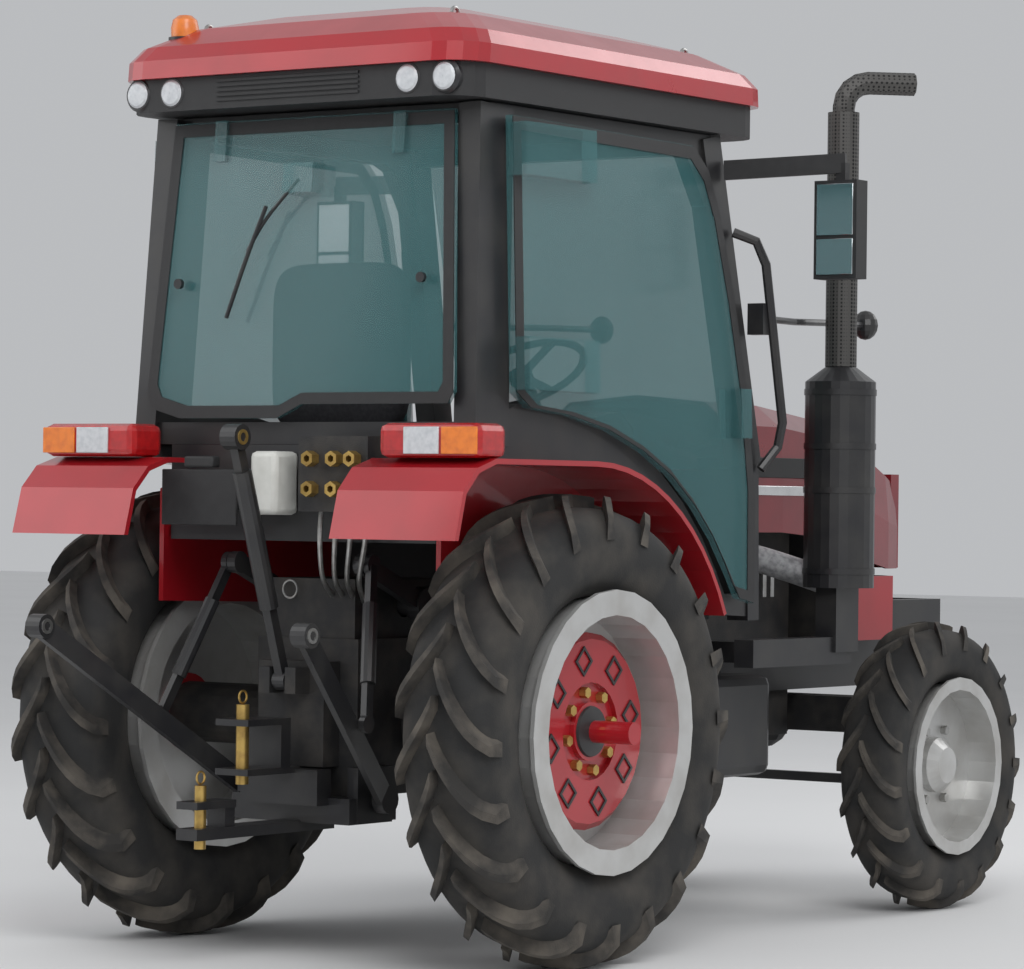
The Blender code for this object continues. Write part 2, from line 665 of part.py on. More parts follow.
def seat_and_controls():
    cushion = box("seat_cushion", (-0.24, -0.10, 1.301), (0.24, 0.36, 1.41))
    back = box("seat_backrest", (-0.23, -0.19, 1.415), (0.23, -0.11, 1.88))
    for soft in (cushion, back):
        bevel = soft.modifiers.new("rounding", "BEVEL")
        bevel.width, bevel.segments = 0.03, 2
        add(soft, FABRIC)
    outline = [(1.038, FLOOR_HIGH + 0.001), (1.038, 1.45), (0.97, 1.50), (0.84, 1.48), (0.86, 1.30), (0.92, FLOOR_HIGH + 0.001)]
    dash = prism("dashboard", outline, "X", -0.17, 0.17)
    hub, tilt = wheel_place()
    column_end = Vector(hub) - tilt * 0.028
    join(dash, rod("steering_column", column_end - tilt * 0.30, column_end, 0.030, segments=12))
    add(dash, BLACK)
    profile = [
        (0.192 + 0.012 * math.cos(math.radians(-a)), 0.012 * math.sin(math.radians(-a)))
        for a in range(-90, 270, 60)
    ]
    rim = turned("steering_wheel", profile, (0, 0, 0), steps=24, axis="Z")
    join(rim, rod("wheel_boss", (0, 0, -0.022), (0, 0, 0.010), 0.035))
    for count in range(3):
        angle = math.radians(90 + 120 * count)
        reach = (0.19 * math.cos(angle), 0.19 * math.sin(angle), 0)
        join(rim, beam("wheel_spoke_%d" % count, (0, 0, -0.004), reach, 0.026, 0.010))
    settle(rim)
    rim.matrix_local = Matrix.Translation(hub) @ tilt.to_track_quat("Z", "Y").to_matrix().to_4x4()
    add(rim, BLACK)


def wheel_place():
    """The steering wheel's middle, and the axis that it turns on, towards the driver."""
    return (0, 0.70, 1.600), Vector((0, -math.sin(math.radians(32)), math.cos(math.radians(32))))


# ---------------------------------------------------------------- fenders, lamps, mirrors
def fenders():
    """A band over each tyre with a shelf behind for the lamp, and the wall between wheel and cab."""
    low = REAR_RADIUS + FENDER_GAP
    high = low + FENDER_WALL
    shelf = REAR_RADIUS + high
    centre = (0, REAR_RADIUS)
    tail = [
        (-0.460, shelf), (-0.545, shelf - 0.025), (-0.605, shelf - 0.085), (FENDER_REAR, shelf - 0.21),
        (FENDER_REAR + 0.016, shelf - 0.21), (-0.592, shelf - 0.092), (-0.537, shelf - 0.038), (-0.460, shelf - FENDER_WALL),
    ]
    band = [*arc(centre, high, 25, 90, 12), *tail, *arc(centre, low, 90, 25, 12)]
    for word, side in SIDES:
        fender = prism("fender_" + word, band, "X", side * FENDER_INNER, side * FENDER_OUTER)
        shelf_band = [(-0.35, shelf - 0.001), *tail, (-0.35, shelf - FENDER_WALL + 0.001)]
        join(fender, prism("fender_shelf_" + word, shelf_band, "X", side * 0.345, side * (FENDER_OUTER - 0.01)))
        wall = [*arc(centre, high - 0.001, 25, 118, 14), (-0.335, 0.95), (0.62, 0.93)]
        join(fender, prism("fender_wall_" + word, wall, "X", side * (FENDER_INNER - FENDER_WALL), side * (FENDER_INNER + 0.001)))
        add(fender, RED)
        lamp = box("tail_lamp_" + word, (side * 0.415, -0.530, shelf + GAP), (side * 0.735, -0.40, 1.432))
        bevel = lamp.modifiers.new("rounding", "BEVEL")
        bevel.width, bevel.segments = 0.02, 2
        add(lamp, LAMP)


def mirrors_and_handles():
    for word, side in SIDES:
        foot, elbow = sided(side, (0.563, 0.900, 2.185)), sided(side, (0.905, 0.998, 2.200))
        mirror = beam("mirror_" + word, foot, elbow, 0.02, 0.055)
        join(
            mirror,
            box("mirror_head_" + word, (side * 0.822, 0.965, 1.872), (side * 0.960, 1.025, 2.150)),
            box("mirror_stem_" + word, (side * 0.880, 0.985, 2.12), (side * 0.910, 1.010, 2.20)),
        )
        settle(mirror)
        add(mirror, BLACK)
        route = [(0.572, 0.935, 2.01), (0.625, 0.975, 1.985), (0.640, 1.005, 1.920), (0.640, 1.105, 1.470), (0.625, 1.105, 1.400), (0.5965, 1.060, 1.335)]
        handle = tube("grab_handle_" + word, [sided(side, point) for point in route], 0.014)
        stalk = [(0.634, 1.040, 1.765), (0.540, 1.330, 1.772), (0.505, 1.560, 1.780), (0.487, 1.825, 1.785)]
        join(
            handle,
            box("handle_plate_" + word, (side * 0.5825, 1.00, 1.72), (side * 0.636, 1.035, 1.81)),
            tube("lamp_stalk_" + word, [sided(side, point) for point in stalk], 0.010),
            ball("stalk_lamp_" + word, sided(side, (0.485, 1.840, 1.785)), 0.045, (0.9, 0.8, 1)),
        )
        add(handle, BLACK)


# ---------------------------------------------------------------- exhaust
def exhaust():
    x, y = MUFFLER_X, MUFFLER_Y
    high = MUFFLER_LOW + 0.61
    profile = [
        (0.0, high + 0.045), (STACK_RADIUS - 0.002, high + 0.045), (MUFFLER_RADIUS, high), (MUFFLER_RADIUS, MUFFLER_LOW),
        (0.0, MUFFLER_LOW),
    ]
    add(turned("muffler", profile, (x, y, 0), steps=24, axis="Z"), BLACK)
    stack_low, stack_high = high + 0.045 + GAP, 2.400
    stack = rod("exhaust_stack", (x, y, stack_low), (x, y, stack_high), STACK_RADIUS, segments=20)
    radius, bend = 0.034, 0.075
    turn = Vector((math.sqrt(0.5), math.sqrt(0.5), 0))
    start = Vector((x, y, stack_high))
    centre = start + turn * bend + Vector((0, 0, 0.015))
    pipe = [start - Vector((0, 0, 0.02))]
    for step in range(5):
        angle = math.pi - step * math.pi / 8
        pipe.append(centre + turn * bend * math.cos(angle) + Vector((0, 0, bend * math.sin(angle))))
    pipe.append(centre + turn * 0.14 + Vector((0, 0, bend)))
    join(stack, tube("exhaust_elbow", pipe, radius))
    add(stack, BLACK)
    bracket = box("muffler_bracket", (0.560, 0.985, 0.765), (0.625, 1.54, 0.845))
    join(bracket, box("muffler_leg", (0.565, 1.43, 0.80), (0.635, 1.56, MUFFLER_LOW - GAP)))
    join(bracket, box("bracket_foot", (0.40, 1.06, 0.775), (0.58, 1.14, 0.835)))
    add(bracket, BLACK)


# ---------------------------------------------------------------- hood
def hood():
    """The hood's skin as sections along it, thickened inwards, with the grille block in its nose."""
    # y, half width, bottom, shoulder, crown
    table = (
        (HOOD_REAR, 0.345, 1.150, 1.470, 1.560),
        (1.600, 0.345, 1.150, 1.468, 1.556),
        (1.900, 0.338, 1.130, 1.440, 1.525),
        (2.150, 0.320, 1.060, 1.390, 1.475),
        (2.320, 0.300, 1.035, 1.330, 1.415),
        (HOOD_FRONT, 0.285, 1.035, 1.300, 1.370),
    )
    work = bmesh.new()
    rows = []
    for y, half, bottom, shoulder, crown in table:
        right = [(half, bottom), (half, (bottom + shoulder) / 2), (half - 0.015, shoulder), (half - 0.10, crown - 0.022)]
        ring = [*right, (0, crown), *[(-x, z) for x, z in reversed(right)]]
        rows.append([work.verts.new((x, y, z)) for x, z in ring])
    for one, two in zip(rows, rows[1:]):
        for i in range(len(one) - 1):
            work.faces.new((one[i], two[i], two[i + 1], one[i + 1]))
    bmesh.ops.recalc_face_normals(work, faces=work.faces)
    skin = from_bmesh("hood", work)
    wall = skin.modifiers.new("wall", "SOLIDIFY")
    wall.thickness = HOOD_WALL
    wall.offset = -1
    settle(skin)
    nose = box("grille", (-0.278, HOOD_FRONT - 0.03, 1.037), (0.278, HOOD_FRONT + 0.02, 1.335))
    join(skin, nose)
    add(pivot(skin, (0, HOOD_HINGE_Y, HOOD_HINGE_Z)), RED)


# ---------------------------------------------------------------- rear hitch
def hitch_frame():
    """Plates bolted under the rear axle: link brackets, drawbar, clevis and the guard over the shaft."""
    plate = CHASSIS_HALF + GAP
    frame = box("hitch_frame", (-0.20, -0.35, 0.37), (0.20, -0.16, GEARBOX_LOW - GAP))
    for word, side in SIDES:
        join(frame, box("link_bracket_" + word, (side * plate, -0.32, 0.375), (side * 0.205, -0.15, 0.52)))
    join(
        frame,
        box("drawbar", (-0.035, -0.78, 0.345), (0.035, -0.20, 0.375)),
        box("drawbar_jaw", (-0.035, -0.78, 0.425), (0.035, -0.62, 0.445)),
        box("drawbar_post", (-0.030, -0.66, 0.36), (0.030, -0.62, 0.43)),
        rod("drawbar_pin", (0, -0.725, 0.33), (0, -0.725, 0.47), 0.014, segments=12),
        box("guard_back", (-0.13, -0.40, 0.42), (0.13, -0.34, 0.515)),
        box("clevis_low", (-0.055, -0.60, 0.505), (0.055, -0.38, 0.522)),
        box("clevis_high", (-0.055, -0.60, 0.635), (0.055, -0.42, 0.652)),
        box("clevis_back", (-0.055, -0.46, 0.51), (0.055, -0.42, 0.645)),
        rod("clevis_pin", (0, -0.555, 0.49), (0, -0.555, 0.675), 0.016, segments=12),
    )
    add(frame, BLACK)


def lifting_gear():
    """Rockshaft with its arms, lift rods, lower links and the stowed top link."""
    y_end, z_end = LIFT_ARM_END
    shaft = rod("lift_arms", (-LIFT_ARM_X, ROCKSHAFT_Y, ROCKSHAFT_Z), (LIFT_ARM_X, ROCKSHAFT_Y, ROCKSHAFT_Z), 0.030)
    for word, side in SIDES:
        x = side * LIFT_ARM_X
        join(
            shaft,
            beam("lift_arm_" + word, (x, ROCKSHAFT_Y, ROCKSHAFT_Z), (x, y_end, z_end), 0.028, 0.048),
            rod("arm_boss_" + word, (x - 0.02, ROCKSHAFT_Y, ROCKSHAFT_Z), (x + 0.02, ROCKSHAFT_Y, ROCKSHAFT_Z), 0.050, segments=20),
            rod("arm_eye_" + word, (x - 0.014, y_end, z_end), (x + 0.014, y_end, z_end), 0.030),
        )
    add(pivot(shaft, (0, ROCKSHAFT_Y, ROCKSHAFT_Z)), BLACK)
    for word, side in SIDES:
        start, end = Vector(sided(side, LINK_PIVOT)), Vector(sided(side, LINK_BALL))
        link = beam("lower_link_" + word, start, end, 0.018, 0.058)
        join(
            link,
            rod("link_eye_" + word, start - Vector((0.017, 0, 0)), start + Vector((0.017, 0, 0)), 0.038),
            rod("link_ball_" + word, end - Vector((0.024, 0, 0)), end + Vector((0.024, 0, 0)), LINK_BALL_RADIUS),
        )
        add(pivot(link, start), BLACK)
        hold = start.lerp(end, ROD_SHARE) + Vector((side * 0.035, 0, 0.040))
        head = Vector((side * (LIFT_ARM_X + 0.027), y_end, z_end))
        lift = beam("lift_rod_" + word, head, hold, 0.018, 0.030)
        middle = [head.lerp(hold, share) for share in (0.25, 0.75)]
        join(
            lift,
            rod("rod_sleeve_" + word, middle[0], middle[1], 0.021, segments=12),
            rod("rod_eye_" + word, head - Vector((0.009, 0, 0)), head + Vector((0.009, 0, 0)), 0.028),
            rod("rod_foot_" + word, hold - Vector((0.009, 0, 0)), hold + Vector((0.009, 0, 0)), 0.024),
        )
        add(pivot(lift, head), BLACK)
    low = Vector((0, *TOP_LINK_PIVOT))
    high = Vector((0, *TOP_LINK_BALL))
    link = beam("top_link", low, high, 0.026, 0.030)
    join(
        link,
        rod("top_link_sleeve", low.lerp(high, 0.30), low.lerp(high, 0.86), 0.026, segments=14),
        rod("top_link_eye", low - Vector((0.020, 0, 0)), low + Vector((0.020, 0, 0)), 0.026),
        rod("top_link_ball", high - Vector((0.026, 0, 0)), high + Vector((0.026, 0, 0)), 0.034),
    )
    add(pivot(link, low), BLACK)


def hydraulics():
    valves = box("valve_block", (0.07, -0.420, 1.20), (0.30, -0.3215, 1.40))
    add(valves, CASTING)


def build():
    wheels()
    gearbox()
    engine_bay()
    front_axle()
    tank_and_step()
    floor_and_panel()
    cab_frame()
    windscreen()
    roof()
    doors()
    rear_window()
    seat_and_controls()
    fenders()
    mirrors_and_handles()
    exhaust()
    hood()
    hitch_frame()
    lifting_gear()
    hydraulics()


build()
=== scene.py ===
"""Looks for the compact cab tractor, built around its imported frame.

Heights and sideways places are in the frame's metres. Places along the tractor are written from the rear
axle, and world() moves them to the frame.
"""

import math

import bmesh
import bpy
import numpy as np
from mathutils import Matrix, Vector

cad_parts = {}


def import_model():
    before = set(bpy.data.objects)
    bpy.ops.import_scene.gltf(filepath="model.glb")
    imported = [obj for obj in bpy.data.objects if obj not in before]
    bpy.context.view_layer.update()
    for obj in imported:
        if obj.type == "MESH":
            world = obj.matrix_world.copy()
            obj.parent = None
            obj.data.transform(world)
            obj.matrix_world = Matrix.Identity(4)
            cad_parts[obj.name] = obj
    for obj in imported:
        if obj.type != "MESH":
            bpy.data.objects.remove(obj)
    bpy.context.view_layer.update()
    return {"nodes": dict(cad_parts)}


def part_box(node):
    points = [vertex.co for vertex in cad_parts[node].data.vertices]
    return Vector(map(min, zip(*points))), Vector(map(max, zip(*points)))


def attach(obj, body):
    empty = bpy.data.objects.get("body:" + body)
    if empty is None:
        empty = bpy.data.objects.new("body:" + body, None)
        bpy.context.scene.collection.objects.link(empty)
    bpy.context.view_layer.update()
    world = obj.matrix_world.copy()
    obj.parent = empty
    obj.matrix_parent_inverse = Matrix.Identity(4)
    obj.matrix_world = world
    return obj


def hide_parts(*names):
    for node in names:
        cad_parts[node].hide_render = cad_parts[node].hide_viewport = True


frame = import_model()
AXLE_Y = sum(corner.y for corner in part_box("rear_tyre_right")) / 2
SIDES = (("right", 1), ("left", -1))
REAR_AXLE_Z = 0.628
REAR_WHEEL_X = 0.656        # middle of a rear tyre
FRONT_AXLE = (2.050, 0.440)     # y, z
FRONT_WHEEL_X = 0.610
SMOOTH_LIMIT = math.radians(35)     # sharper edges than this stay crisp
WINDOW_LEAN = math.radians(4.2)
DOOR_LEAN = math.radians(1.8)


# ---------------------------------------------------------------- materials
def finish(name, colour, other, scale=12.0, roughness=0.45, metallic=0.0, bump=0.05, coat=0.0, alpha=1.0):
    """A paint, casting or plastic: two tones mixed by noise, the same noise on roughness, and a finer noise
    on bump.
    """
    material = bpy.data.materials.new(name)
    material.use_nodes = True
    nodes, links = material.node_tree.nodes, material.node_tree.links
    shader = nodes["Principled BSDF"]
    place = nodes.new("ShaderNodeTexCoord")
    noise = nodes.new("ShaderNodeTexNoise")
    noise.inputs["Scale"].default_value = scale
    noise.inputs["Detail"].default_value = 6.0
    tones = nodes.new("ShaderNodeValToRGB")
    tones.color_ramp.elements[0].position = 0.40
    tones.color_ramp.elements[1].position = 0.72
    tones.color_ramp.elements[0].color = (*colour, 1)
    tones.color_ramp.elements[1].color = (*other, 1)
    rough = nodes.new("ShaderNodeMapRange")
    rough.inputs["To Min"].default_value = max(roughness - 0.08, 0.02)
    rough.inputs["To Max"].default_value = min(roughness + 0.12, 1.0)
    grain = nodes.new("ShaderNodeTexNoise")
    grain.inputs["Scale"].default_value = scale * 25
    raised = nodes.new("ShaderNodeBump")
    raised.inputs["Strength"].default_value = bump
    raised.inputs["Distance"].default_value = 0.002
    links.new(place.outputs["Object"], noise.inputs["Vector"])
    links.new(place.outputs["Object"], grain.inputs["Vector"])
    links.new(noise.outputs["Fac"], tones.inputs["Fac"])
    links.new(tones.outputs["Color"], shader.inputs["Base Color"])
    links.new(noise.outputs["Fac"], rough.inputs["Value"])
    links.new(rough.outputs["Result"], shader.inputs["Roughness"])
    links.new(grain.outputs["Fac"], raised.inputs["Height"])
    links.new(raised.outputs["Normal"], shader.inputs["Normal"])
    shader.inputs["Metallic"].default_value = metallic
    shader.inputs["Coat Weight"].default_value = coat
    shader.inputs["Coat Roughness"].default_value = 0.08
    shader.inputs["Alpha"].default_value = alpha
    return material


RED = finish("red_paint", (0.42, 0.010, 0.018), (0.36, 0.012, 0.018), 6, 0.30, 0.1, 0.01, 0.7)
HOOD_RED = finish("hood_red", (0.26, 0.012, 0.020), (0.21, 0.012, 0.018), 6, 0.28, 0.45, 0.01, 0.8)
BLACK = finish("black_paint", (0.016, 0.016, 0.018), (0.030, 0.029, 0.028), 9, 0.42, 0.0, 0.04, 0.2)
CASTING = finish("black_casting", (0.020, 0.020, 0.021), (0.052, 0.047, 0.042), 14, 0.58, 0.1, 0.35)
RUBBER = finish("tyre_rubber", (0.020, 0.020, 0.020), (0.060, 0.054, 0.047), 8, 0.80, 0.0, 0.25)
LUG_RUBBER = finish("dusty_lug_rubber", (0.034, 0.032, 0.030), (0.135, 0.118, 0.098), 10, 0.88, 0.0, 0.35)
SILVER = finish("silver_rim_paint", (0.58, 0.58, 0.57), (0.45, 0.44, 0.42), 7, 0.34, 0.55, 0.03)
PLASTIC = finish("black_plastic", (0.018, 0.018, 0.019), (0.026, 0.026, 0.027), 30, 0.55, 0.0, 0.30)
STEEL = finish("zinc_steel", (0.48, 0.48, 0.47), (0.34, 0.33, 0.31), 40, 0.32, 0.9, 0.05)
GOLD = finish("gold_zinc_pins", (0.62, 0.42, 0.13), (0.44, 0.28, 0.09), 40, 0.34, 0.85, 0.05)
CHROME = finish("chrome", (0.80, 0.80, 0.80), (0.72, 0.72, 0.72), 20, 0.10, 1.0, 0.0)
FOIL = finish("foil_pipe", (0.42, 0.42, 0.43), (0.22, 0.22, 0.23), 60, 0.42, 0.7, 0.6)
FABRIC = finish("seat_cloth", (0.035, 0.035, 0.040), (0.060, 0.060, 0.066), 90, 0.85, 0.0, 0.7)
GLASS = finish("tinted_glass", (0.07, 0.20, 0.21), (0.08, 0.22, 0.23), 1.5, 0.10, 0.0, 0.0, 0.0, 0.42)
MIRROR = finish("mirror_glass", (0.75, 0.78, 0.80), (0.70, 0.74, 0.76), 3, 0.06, 1.0, 0.0)
RED_LENS = finish("red_lens", (0.50, 0.008, 0.010), (0.36, 0.006, 0.008), 45, 0.16, 0.0, 0.4, 0.6)
AMBER = finish("amber_lens", (0.85, 0.22, 0.015), (0.68, 0.15, 0.010), 45, 0.16, 0.0, 0.4, 0.6)
CLEAR = finish("clear_lens", (0.66, 0.68, 0.70), (0.52, 0.54, 0.57), 60, 0.12, 0.2, 0.5, 0.6)
WHITE = finish("white_bottle", (0.70, 0.70, 0.66), (0.60, 0.60, 0.56), 20, 0.45)


def perforate(material, scale):
    """Rows of small round holes over a black tube: the distance to the nearest cell's middle darkens it."""
    nodes, links = material.node_tree.nodes, material.node_tree.links
    place = nodes.new("ShaderNodeTexCoord")
    cells = nodes.new("ShaderNodeTexVoronoi")
    cells.inputs["Scale"].default_value = scale
    cells.inputs["Randomness"].default_value = 0.0
    dots = nodes.new("ShaderNodeValToRGB")
    dots.color_ramp.elements[0].color = (0.004, 0.004, 0.004, 1)
    dots.color_ramp.elements[1].color = (0.085, 0.082, 0.078, 1)
    dots.color_ramp.elements[0].position = 0.30
    dots.color_ramp.elements[1].position = 0.42
    links.new(place.outputs["Object"], cells.inputs["Vector"])
    links.new(cells.outputs["Distance"], dots.inputs["Fac"])
    links.new(dots.outputs["Color"], nodes["Principled BSDF"].inputs["Base Color"])
    return material


MESH_STEEL = perforate(finish("perforated_steel", (0.05,) * 3, (0.05,) * 3, 10, 0.5, 0.3), 90)

NODE_FINISH = (
    (("roof_shell", "fender_", "rear_weight", "front_shroud"), RED),
    (("hood",), HOOD_RED),
    (("transmission", "engine_block", "front_axle_beam", "knuckle", "valve_block", "radiator"), CASTING),
    (("front_rim", "rear_rim"), SILVER),
    (("windscreen", "rear_window", "door_"), GLASS),
    (("tail_lamp",), RED_LENS),
    (("roof_base", "dashboard", "steering_wheel", "cab_floor", "mirror"), PLASTIC),
    (("exhaust_stack",), MESH_STEEL),
    (("rear_tyre", "front_tyre"), RUBBER),
    (("seat_",), FABRIC),
)


def finish_nodes():
    for name, node in frame["nodes"].items():
        chosen = [material for starts, material in NODE_FINISH if name.startswith(starts)]
        node.data.materials.clear()
        node.data.materials.append(chosen[0] if chosen else BLACK)


# ---------------------------------------------------------------- meshes
def world(points):
    """Points written from the rear axle, moved to the frame."""
    return np.asarray(points, float) + (0, AXLE_Y, 0)


def grid(rows, columns, close_rows, close_columns):
    """Faces of a grid of points, joined round where a direction closes on itself."""
    i, j = np.meshgrid(
        np.arange(rows if close_rows else rows - 1),
        np.arange(columns if close_columns else columns - 1),
        indexing="ij",
    )
    below, beside = (i + 1) % rows, (j + 1) % columns
    corners = (i * columns + j, below * columns + j, below * columns + beside, i * columns + beside)
    return [tuple(face) for face in np.stack(corners, -1).reshape(-1, 4).tolist()]


def block(low, high):
    """The eight corners of a box and its six faces."""
    share = np.array([(a, b, c) for a in (0, 1) for b in (0, 1) for c in (0, 1)])
    points = np.asarray(low) + share * (np.asarray(high) - np.asarray(low))
    faces = [(0, 1, 3, 2), (4, 6, 7, 5), (0, 4, 5, 1), (2, 3, 7, 6), (0, 2, 6, 4), (1, 5, 7, 3)]
    return points, faces


def sweep(path, radius, sides=12):
    """A round tube: at each point of the path, a circle across the direction from its neighbours."""
    path = np.asarray(path, float)
    radii = np.broadcast_to(np.asarray(radius, float), len(path))
    ahead = np.gradient(path, axis=0)
    ahead /= np.linalg.norm(ahead, axis=1)[:, None]
    guide = np.eye(3)[np.argmin(np.abs(ahead).max(0))]
    across = np.cross(ahead, guide)
    across /= np.linalg.norm(across, axis=1)[:, None]
    third = np.cross(ahead, across)
    angle = np.linspace(0, 2 * np.pi, sides, endpoint=False)[None, :, None]
    ring = np.cos(angle) * across[:, None] + np.sin(angle) * third[:, None]
    points = (path[:, None] + radii[:, None, None] * ring).reshape(-1, 3)
    last = (len(path) - 1) * sides
    ends = [tuple(range(sides))[::-1], tuple(range(last, last + sides))]
    return points, grid(len(path), sides, False, True) + ends


def smooth_path(points, count=24):
    """A Catmull-Rom curve through the points, read at even steps of its parameter."""
    points = np.asarray(points, float)
    held = np.vstack([2 * points[0] - points[1], points, 2 * points[-1] - points[-2]])
    at = np.linspace(0, len(points) - 1 - 1e-9, count)
    i, t = at.astype(int), (at % 1)[:, None]
    a, b, c, d = held[i], held[i + 1], held[i + 2], held[i + 3]
    return 0.5 * (2 * b + (c - a) * t + (2 * a - 5 * b + 4 * c - d) * t**2 + (3 * b - a - 3 * c + d) * t**3)


def revolve(profile, centre, axis, steps=32):
    """A closed profile of (radius, height) carried round an axis through the centre."""
    profile = np.asarray(profile, float)
    angle = np.linspace(0, 2 * np.pi, steps, endpoint=False)
    radius, height = profile[:, 0][None], profile[:, 1][None]
    one, two = radius * np.cos(angle)[:, None], radius * np.sin(angle)[:, None]
    along = np.broadcast_to(height, one.shape)
    order = {"X": (along, one, two), "Y": (two, along, one), "Z": (one, two, along)}[axis]
    return np.stack(order, -1).reshape(-1, 3) + centre, grid(steps, len(profile), True, True)


def ring(centre, axis, radius, thick, steps=24):
    """A torus: a small circle carried round a large one."""
    turn = np.linspace(0, 2 * np.pi, 8, endpoint=False)
    return revolve(np.stack([radius + thick * np.cos(turn), thick * np.sin(turn)], 1), centre, axis, steps)


def hexagons(centres, across, reach, side=1):
    """Bolt heads along X: six-sided prisms, one per centre."""
    parts = []
    for x, y, z in centres:
        parts.append(sweep([(x, y, z), (x + side * reach, y, z)], across / 2, 6))
    return merged(parts)


def merged(parts):
    points, faces, start = [], [], 0
    for one, its_faces in parts:
        points.append(one)
        faces += [tuple(index + start for index in face) for face in its_faces]
        start += len(one)
    return np.concatenate(points), faces


def piece(name, shape, material, body="chassis", stands_for=(), bevel=0.0):
    """Puts a shape in the scene as a finished piece that rides on a body."""
    points, faces = shape
    mesh = bpy.data.meshes.new(name)
    mesh.from_pydata(world(points).tolist(), [], faces)
    mesh.validate()
    obj = bpy.data.objects.new(name, mesh)
    bpy.context.scene.collection.objects.link(obj)
    face_outwards(mesh)
    mesh.materials.append(material)
    mesh.shade_smooth()
    mesh.set_sharp_from_angle(angle=SMOOTH_LIMIT)
    if bevel:
        edge = obj.modifiers.new("edge", "BEVEL")
        edge.width, edge.segments, edge.limit_method = bevel, 2, "ANGLE"
    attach(obj, body)
    if stands_for:
        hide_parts(*stands_for)
    return obj


def face_outwards(mesh):
    """Recalculates a closed mesh's faces to point outwards."""
    work = bmesh.new()
    work.from_mesh(mesh)
    bmesh.ops.recalc_face_normals(work, faces=work.faces)
    work.to_mesh(mesh)
    work.free()


# ---------------------------------------------------------------- wheels
def carcass(centre, half, bead, crown):
    """A rounded-square loop round the section, narrowed towards the bead, carried round the axle."""
    u = np.linspace(0, 2 * np.pi, 40, endpoint=False)
    middle, tall = (bead + crown) / 2, (crown - bead) / 2
    narrow = 1 - 0.20 * ((1 - np.cos(u)) / 2) ** 2
    across = half * narrow * np.sign(np.sin(u)) * np.abs(np.sin(u)) ** 0.60
    radius = middle + tall * np.sign(np.cos(u)) * np.abs(np.cos(u)) ** 0.72
    return revolve(np.stack([radius, across], 1), centre, "X", 72)


def lugs(centre, half, crown, tip, count, lead, thick):
    """Bars from the tread's middle to its shoulder: angle grows with the 0.8th power of the way out, and
    the radius drops at the shoulder. Each bar's section is wide at its foot and narrow at its tip."""
    way = np.linspace(0, 1, 8)
    number = np.arange(2 * count)
    hand = np.where(number % 2 == 0, 1.0, -1.0)[:, None]
    across = hand * (-0.02 * half + way * half * 1.0)[None]
    angle = (number * np.pi / count)[:, None] + (lead * way**0.8)[None]
    drop = np.array([0, 0, 0, 0, 0.004, 0.012, 0.030, 0.062]) * (tip / 0.628)
    foot = np.broadcast_to(crown - 0.012 - drop * 1.15, angle.shape)
    top = np.broadcast_to(tip - drop, angle.shape)
    wide, narrow = thick / 2 * 1.35, thick / 2 * 0.85
    rows = []
    for radius, offset in ((foot, -wide), (top, -narrow), (top, narrow), (foot, wide)):
        turn = angle + offset / tip
        rows.append(np.stack([across, radius * np.cos(turn), radius * np.sin(turn)], -1))
    points = np.stack(rows, 2).reshape(-1, 3) + centre
    one = grid(8, 4, False, True) + [(0, 1, 2, 3), (31, 30, 29, 28)]
    faces = [tuple(index + 32 * k for index in face) for k in range(2 * count) for face in one]
    return points, faces


def circle_places(centre, radius, count, start=0.0):
    angle = start + np.arange(count) * 2 * np.pi / count
    x, y, z = centre
    return np.stack([np.full(count, x), y + radius * np.cos(angle), z + radius * np.sin(angle)], 1)


def wheels():
    for word, side in SIDES:
        rear, front = (side * REAR_WHEEL_X, 0, REAR_AXLE_Z), (side * FRONT_WHEEL_X, *FRONT_AXLE)
        body = "rear_wheel_" + word
        piece("rear_carcass_" + word, carcass(rear, 0.150, 0.350, 0.592), RUBBER, body, ["rear_tyre_" + word])
        piece("rear_lugs_" + word, lugs(rear, 0.153, 0.592, 0.627, 20, 0.36, 0.034), LUG_RUBBER, body)
        bolts = circle_places((side * 0.7165, 0, REAR_AXLE_Z), 0.105, 8, 0.2)
        piece("weight_bolts_" + word, hexagons(bolts, 0.030, 0.020, side), GOLD, body)
        # Painted shade: thin black diamond rings on the weight's face stand in for the shade inside its
        # diamond pockets.
        diamond = [(0.030, 0), (0.040, 0), (0.040, 0.004), (0.030, 0.004)]
        diamonds = []
        for x, y, z in circle_places((side * 0.7315, 0, REAR_AXLE_Z), 0.190, 8, 0.2):
            diamonds.append(revolve(diamond, (x, y, z), "X", 4))
        piece("weight_pocket_shade_" + word, merged(diamonds), BLACK, body)
        caps = revolve([(0.001, 0), (0.074, 0), (0.066, 0.022), (0.034, 0.030), (0.001, 0.030)],
                       (side * 0.716 + min(side, 0) * 0.030, 0, REAR_AXLE_Z), "X", 24)
        piece("hub_cap_" + word, caps, BLACK, body)
        body = "front_wheel_" + word
        shape = carcass(front, 0.100, 0.254, 0.416)
        piece("front_carcass_" + word, shape, RUBBER, body, ["front_tyre_" + word])
        piece("front_lugs_" + word, lugs(front, 0.102, 0.416, 0.4395, 17, 0.36, 0.026), LUG_RUBBER, body)
        nuts = circle_places((side * 0.6185, *FRONT_AXLE), 0.120, 6)
        piece("front_nuts_" + word, hexagons(nuts, 0.028, 0.018, side), STEEL, body)


# ---------------------------------------------------------------- cab glass borders
def border(outline, width, place, thick, name, body):
    """A black band just inside an outline: the same outline again, drawn in towards its middle."""
    outer = np.asarray(outline, float)
    middle = (outer.max(0) + outer.min(0)) / 2
    half = (outer.max(0) - outer.min(0)) / 2
    inner = middle + (outer - middle) * (1 - width / half)
    loops = np.stack([place(outer, 0), place(inner, 0), place(inner, thick), place(outer, thick)])
    count = len(outer)
    shape = loops.reshape(-1, 3), grid(4, count, True, True)
    return piece(name, shape, PLASTIC, body)


